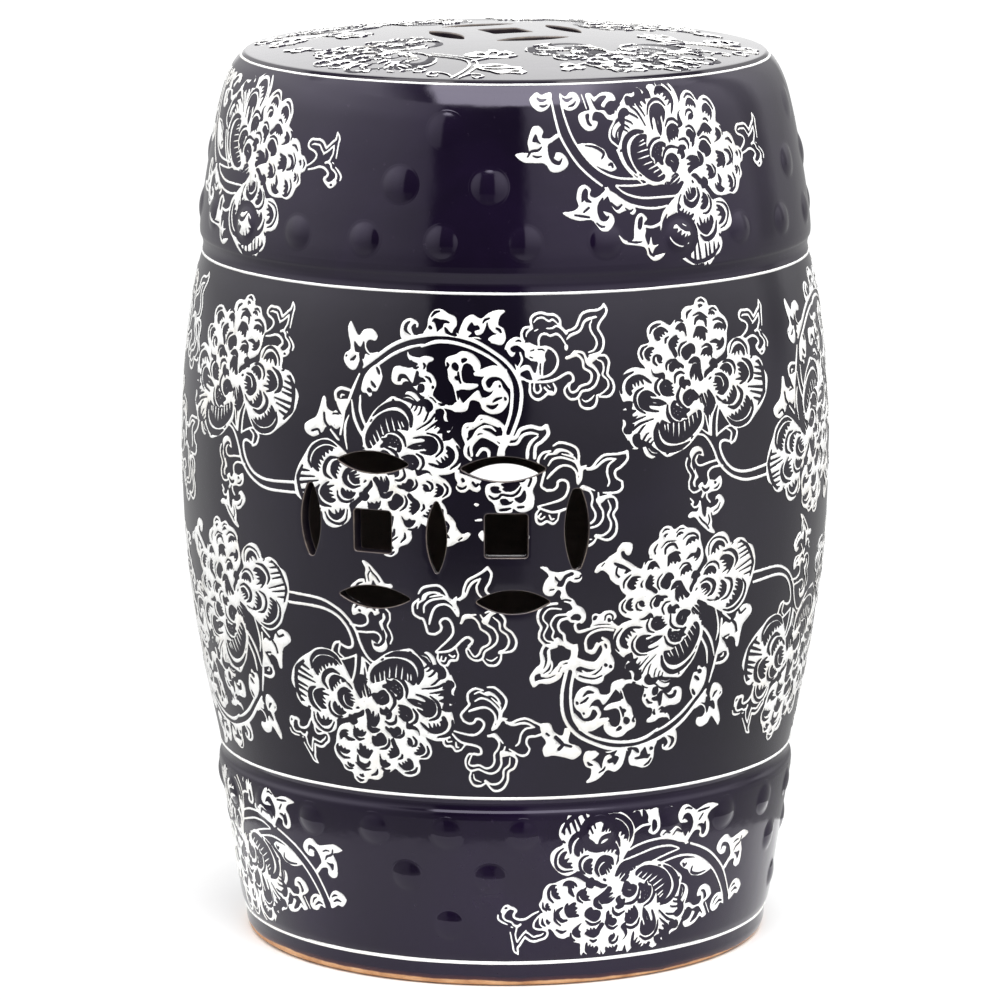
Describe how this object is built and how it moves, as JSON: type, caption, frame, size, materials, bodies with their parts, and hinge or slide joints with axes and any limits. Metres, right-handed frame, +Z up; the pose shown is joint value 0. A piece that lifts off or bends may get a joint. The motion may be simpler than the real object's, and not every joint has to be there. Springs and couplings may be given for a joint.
{
  "type": "garden stool",
  "caption": "Drum-shaped glazed ceramic garden stool with a crowned pierced seat, pierced coin panels on two sides, raised bosses and white peony scroll; free-standing seat or side table.",
  "frame": {"origin": "middle of the foot, on the floor", "axes": "+Z up along the drum's axis; one pierced panel faces -Y and the other +Y"},
  "size_m": [0.3248, 0.3249, 0.4549],
  "materials": {
    "glaze": "deep blue-violet high-gloss glaze",
    "bare_clay": "unglazed fired stoneware",
    "white_slip": "raised white slip, glossy"
  },
  "bodies": {
    "root": {"seat_top": "glaze", "upper_wall": "glaze", "belly_wall": "glaze", "lower_wall": "glaze", "upper_bosses_row_1": "glaze", "upper_bosses_row_2": "glaze", "upper_bosses_row_3": "glaze", "lower_bosses_row_1": "glaze", "lower_bosses_row_2": "glaze", "lower_bosses_row_3": "glaze", "foot_ring": "bare_clay", "seat_luting_coil": "bare_clay", "shoulder_luting_coil": "bare_clay", "waist_luting_coil": "bare_clay", "rim_slip_line": "white_slip", "shoulder_slip_line": "white_slip", "waist_slip_line": "white_slip", "foot_slip_line": "white_slip"}
  },
  "joints": []
}
